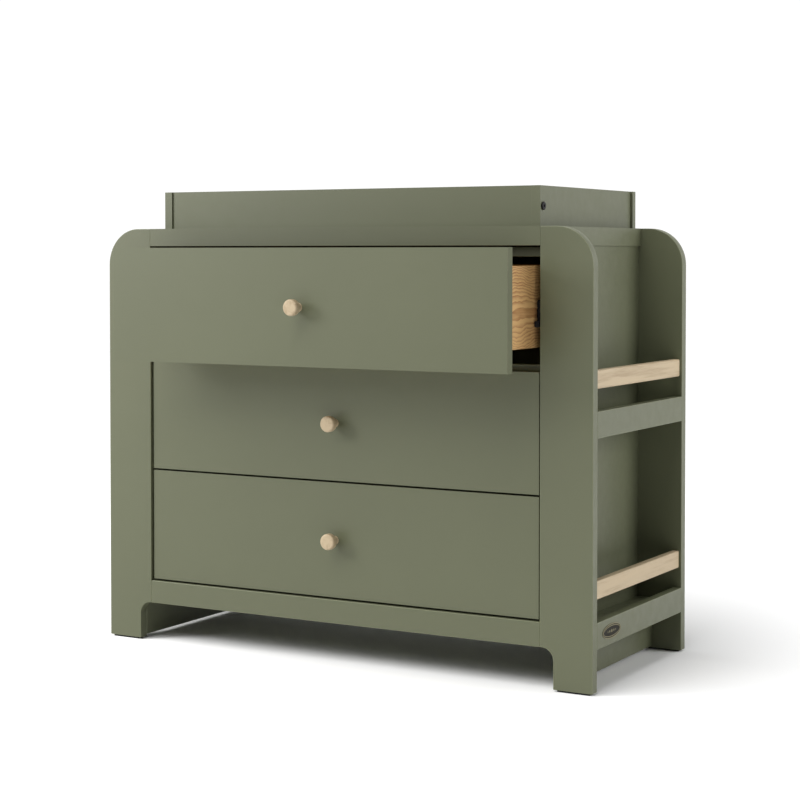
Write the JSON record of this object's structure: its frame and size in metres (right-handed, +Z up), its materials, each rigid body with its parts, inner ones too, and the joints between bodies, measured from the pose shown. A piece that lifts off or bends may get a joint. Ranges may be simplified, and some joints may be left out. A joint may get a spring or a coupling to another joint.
{
  "type": "changing table",
  "caption": "Changing table: a dresser with sliding drawers, open bookcases with guard bars at both ends, and a screwed-on changing topper with raised sides.",
  "frame": {"origin": "on the floor, at the centre of the box round the whole object as stored, with its top drawer pulled out 133 mm", "axes": "+X to the right seen from the front, -Y towards the user, +Z up; the drawers slide out along -Y"},
  "size_m": [1.1212, 0.641, 0.9445],
  "materials": {
    "painted_wood": "satin sage green paint",
    "painted_board": "thin fibreboard, satin sage green paint",
    "light_wood": "clear matt lacquer",
    "pine": "clear matt lacquer",
    "plywood": "bare smooth plywood",
    "black_steel": "black electrophoretic coat",
    "zinc_steel": "bright zinc plate",
    "black_plastic": "matt moulded",
    "badge_plate": "dark bronze with a raised rim"
  },
  "bodies": {
    "cabinet": {"front_left_stile": "painted_wood", "front_right_stile": "painted_wood", "rear_left_stile": "painted_wood", "rear_right_stile": "painted_wood", "left_side_panel": "painted_wood", "right_side_panel": "painted_wood", "left_plinth": "painted_wood", "right_plinth": "painted_wood", "left_lower_shelf": "painted_wood", "left_upper_shelf": "painted_wood", "right_lower_shelf": "painted_wood", "right_upper_shelf": "painted_wood", "left_lower_shelf_rail": "painted_wood", "left_upper_shelf_rail": "painted_wood", "right_lower_shelf_rail": "painted_wood", "right_upper_shelf_rail": "painted_wood", "left_guard_bars": "light_wood", "right_guard_bars": "light_wood", "desk_top": "painted_wood", "top_front_rail": "painted_wood", "divider_rails": "painted_wood", "bottom_front_rail": "painted_wood", "rear_rails": "painted_wood", "back_panel": "painted_board", "bottom_panel": "painted_board", "left_cabinet_runners": "black_steel", "right_cabinet_runners": "black_steel", "cam_locks": "zinc_steel", "glides": "black_plastic", "topper_front": "painted_wood", "topper_left": "painted_wood", "topper_right": "painted_wood", "topper_back": "painted_wood", "topper_fasteners": "black_steel", "badge": "badge_plate", "tip_anchor": "zinc_steel"},
    "drawer_1": {"drawer_1_front": "painted_wood", "drawer_1_left_side": "pine", "drawer_1_right_side": "pine", "drawer_1_back": "pine", "drawer_1_bottom": "plywood", "drawer_1_knob": "light_wood", "drawer_1_screws": "zinc_steel", "drawer_1_runners": "black_steel"},
    "drawer_2": {"drawer_2_front": "painted_wood", "drawer_2_left_side": "pine", "drawer_2_right_side": "pine", "drawer_2_back": "pine", "drawer_2_bottom": "plywood", "drawer_2_knob": "light_wood", "drawer_2_screws": "zinc_steel", "drawer_2_runners": "black_steel"},
    "drawer_3": {"drawer_3_front": "painted_wood", "drawer_3_left_side": "pine", "drawer_3_right_side": "pine", "drawer_3_back": "pine", "drawer_3_bottom": "plywood", "drawer_3_knob": "light_wood", "drawer_3_screws": "zinc_steel", "drawer_3_runners": "black_steel"}
  },
  "joints": [
    {"name": "drawer_1_slide", "type": "slide", "parent": "cabinet", "child": "drawer_1", "axis": [0, -1, 0], "range_m": [-0.133, 0.167]},
    {"name": "drawer_2_slide", "type": "slide", "parent": "cabinet", "child": "drawer_2", "axis": [0, -1, 0], "range_m": [0, 0.3]},
    {"name": "drawer_3_slide", "type": "slide", "parent": "cabinet", "child": "drawer_3", "axis": [0, -1, 0], "range_m": [0, 0.3]}
  ]
}
